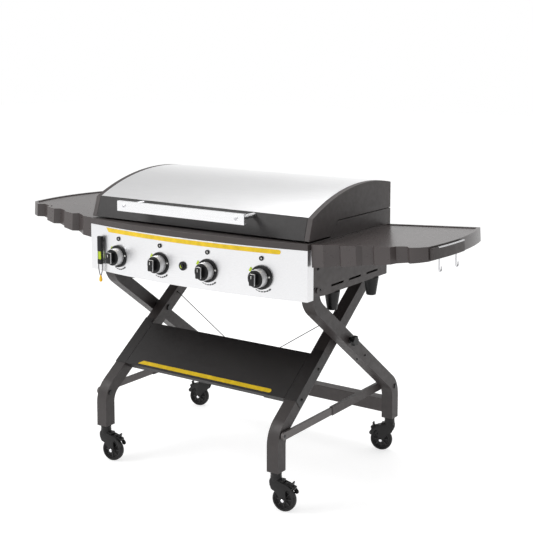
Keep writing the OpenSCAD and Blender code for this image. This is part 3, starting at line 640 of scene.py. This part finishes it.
def dome_bolt(name, at, direction, radius, body, material="bolt_black"):
    """A low domed bolt head with a washer and a hex socket."""
    place = axis_place(at, direction)
    form = bmesh.new()
    r = radius / MM
    head = [(0.4, 2.2), (r * 0.32, 2.2), (r * 0.36, 4.0), (r * 0.6, 4.0), (r * 0.86, 3.0),
            (r, 1.4), (r, -0.5)]
    lathe(form, [(a * MM, b * MM) for a, b in head], place, 32)
    return add_piece(name, mesh_from(name, form), material, body)


def add_fasteners():
    """Screws and bolt heads that the CAD model leaves plain."""
    low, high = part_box("lid_handle")
    reach = (high[0] - low[0]) / 2 - SCREW_INSET
    for i, x in enumerate((-reach, reach)):
        dome_bolt(f"handle_screw_{i}", (x, low[1] + 2 * MM, SCREW_HEIGHT), (0, -1, 0), 6 * MM,
                  "lid", "hardware_steel")
    plate_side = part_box("lower_plate")[1][0]
    along = Vector((0, math.cos(LEG_SLOPE), math.sin(LEG_SLOPE)))
    pivot = Vector(joint_of("inner_frame_scissor")["pos_m"])
    for side in (-1, 1):
        for i, reach in enumerate(PLATE_BOLTS):
            spot = pivot + along * reach
            spot.x = side * plate_side
            dome_bolt(f"plate_bolt_{side}_{i}", spot, (side, 0, 0), 5 * MM, "inner_frame")
    for side in (-1, 1):
        for i, (y, z) in enumerate(RAIL_BOLTS):
            spot = (side * RAIL_FACE, y, z)
            dome_bolt(f"rail_bolt_{side}_{i}", spot, (side, 0, 0), 4.5 * MM, "body")
        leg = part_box("outer_leg_right" if side > 0 else "outer_leg_left")
        for i, (y, z) in enumerate(LEG_PLUGS):
            spot = (side * max(abs(leg[0][0]), abs(leg[1][0])), y, z)
            dome_bolt(f"leg_plug_{side}_{i}", spot, (side, 0, 0), 3.6 * MM, "outer_frame")


def paint_rail_highlight():
    """Painted highlight: a bright silver strip over the outer top edge of the dark tool rail, standing in for the
    light that edge reflects, past its two front rows of points.
    """
    rows = {}
    for vert in nodes["tool_rail"].data.vertices:
        key = round(vert.co.y / MM)
        if key not in rows or vert.co.x + vert.co.z > rows[key].x + rows[key].z:
            rows[key] = vert.co.copy()
    section = [(0.4, -3), (0.4, 0.4), (-5, 0.3), (-5, -0.5), (-0.4, -0.5), (-0.4, -3)]
    form = bmesh.new()
    rings = [[form.verts.new((rows[key].x + dx * MM, rows[key].y, rows[key].z + dz * MM))
              for dx, dz in section] for key in sorted(rows)[2:]]
    for near, far in zip(rings, rings[1:]):
        for i in range(len(section)):
            j = (i + 1) % len(section)
            form.faces.new((near[i], near[j], far[j], far[i]))
    form.faces.new(rings[0])
    form.faces.new(rings[-1][::-1])
    # Painted highlight: this silver strip stands for light reflected off the dark rail's top edge
    add_piece("rail_painted_highlight", mesh_from("rail_painted_highlight", form), "silver_paint", "shelf_right")


# ---------- studio ----------

def make_studio():
    """Pale floor, soft lights, and a surround that dims overhead and to the right."""
    bpy.ops.mesh.primitive_plane_add(size=40, location=(0, 0, -0.2 * MM))
    floor = bpy.context.object
    floor.name = "studio_floor"
    mat, tree, shader = new_material("studio_floor")
    vary_colour(tree, shader, noise(tree, coordinates(tree), 0.6), (0.5, 0.5, 0.5), 0.01)
    shader.inputs["Roughness"].default_value = 0.9
    shader.inputs["Emission Color"].default_value = (1, 1, 1, 1)
    shader.inputs["Emission Strength"].default_value = 0.7
    floor.data.materials.append(mat)

    world = bpy.data.worlds.new("studio")
    world.use_nodes = True
    tree = world.node_tree
    where = tree.nodes.new("ShaderNodeTexCoord")
    height = tree.nodes.new("ShaderNodeSeparateXYZ")
    ramp = tree.nodes.new("ShaderNodeValToRGB")
    tones = [(0.0, 1.0), (0.2, 1.0), (0.34, 0.62), (0.55, 0.5), (0.8, 0.72), (1.0, 0.8)]
    while len(ramp.color_ramp.elements) < len(tones):
        ramp.color_ramp.elements.new(0.5)
    for element, (at, tone) in zip(ramp.color_ramp.elements, tones):
        element.position = at
        element.color = (tone, tone, tone, 1)
    tree.links.new(where.outputs["Generated"], height.inputs["Vector"])
    tree.links.new(height.outputs["Z"], ramp.inputs["Fac"])
    side = tree.nodes.new("ShaderNodeValToRGB")
    side.color_ramp.elements[0].position = 0.25
    side.color_ramp.elements[0].color = (1, 1, 1, 1)
    side.color_ramp.elements[1].position = 0.85
    side.color_ramp.elements[1].color = (0.42, 0.42, 0.42, 1)
    tree.links.new(height.outputs["X"], side.inputs["Fac"])
    both = tree.nodes.new("ShaderNodeMix")
    both.data_type = "RGBA"
    both.blend_type = "MULTIPLY"
    both.inputs[MIX_FACTOR].default_value = 1.0
    tree.links.new(ramp.outputs["Color"], both.inputs[MIX_A])
    tree.links.new(side.outputs["Color"], both.inputs[MIX_B])
    tree.links.new(both.outputs[MIX_RESULT], tree.nodes["Background"].inputs["Color"])
    tree.nodes["Background"].inputs["Strength"].default_value = 1.0
    bpy.context.scene.world = world

    add_light("key", (-2.2, -2.4, 3.0), 1.4, 60)
    add_light("top", (0.2, 0.6, 3.4), 3.0, 50, 0.4)


def add_light(name, place, size, watts, sheen=1.0):
    """A square area light aimed at the griddle; sheen scales how much it shows in reflections."""
    data = bpy.data.lights.new(name, "AREA")
    data.size = size
    data.energy = watts
    data.specular_factor = sheen
    lamp = bpy.data.objects.new(name, data)
    bpy.context.scene.collection.objects.link(lamp)
    lamp.location = place
    aim = Vector(LOOK_AT) - Vector(place)
    lamp.rotation_euler = aim.to_track_quat("-Z", "Y").to_euler()


def make_camera():
    """Camera at the three-quarter view from the front right."""
    data = bpy.data.cameras.new("camera")
    data.lens = 71.36
    data.sensor_width = 36
    data.shift_y = -0.196
    camera = bpy.data.objects.new("camera", data)
    bpy.context.scene.collection.objects.link(camera)
    camera.location = CAMERA_PLACE
    look = Vector((-math.sin(CAMERA_TURN) * math.cos(CAMERA_DIP),
                   math.cos(CAMERA_TURN) * math.cos(CAMERA_DIP), -math.sin(CAMERA_DIP)))
    camera.rotation_euler = look.to_track_quat("-Z", "Y").to_euler()
    bpy.context.scene.camera = camera


# Width of each CAD piece's rounded edges, in mm
SOFT_EDGES = {
    "top_rim": 1.5, "control_panel": 0.8, "wind_guard": 0.8, "side_rail_left": 1.0,
    "side_rail_right": 1.0, "lid_end_left": 1.4, "lid_end_right": 1.4, "lid_front_band": 1.0,
    "lid_handle": 1.2, "lid_hinge_arms": 0.6, "lid_hinge_pins": 0.6, "shelf_left": 1.6,
    "shelf_right": 1.6, "tool_rail": 1.0, "outer_leg_left": 4.0, "outer_leg_right": 4.0,
    "inner_leg_left": 4.0, "inner_leg_right": 4.0, "rear_cross_beam": 2.5, "lower_plate": 0.9,
    "brace_sleeve_left": 1.2, "brace_sleeve_right": 1.2, "brace_bar_left": 1.0,
    "brace_bar_right": 1.0, "grease_tray": 0.9, "griddle_plate": 0.9, "knob_bezels": 1.2,
    "body_feet": 2.0, "outer_bolts": 0.9, "inner_bolts": 0.9, "pivot_knob": 1.2,
    "igniter_button": 1.2, "igniter_module": 0.8, "firebox": 0.8, "gas_valves": 0.8,
    "gas_manifold": 0.8,
}

make_camera()
make_studio()
dress_cad_nodes()
for name, millimetres in SOFT_EDGES.items():
    coat = ("shelf_coat" if name.startswith("shelf") else
            "leg_coat" if "_leg_" in name else None)
    soften(name, millimetres * MM, coat)
for name in KNOB_NODES:
    finish_knob(name)
mark_panel()
mark_igniter()
finish_match_stick()
for corner in CORNERS:
    finish_wheel(corner)
    finish_fork(corner)
    finish_brake(corner)
add_fasteners()
# Painted highlight along the tool rail's top edge
paint_rail_highlight()

bpy.context.scene.view_settings.view_transform = "Standard"
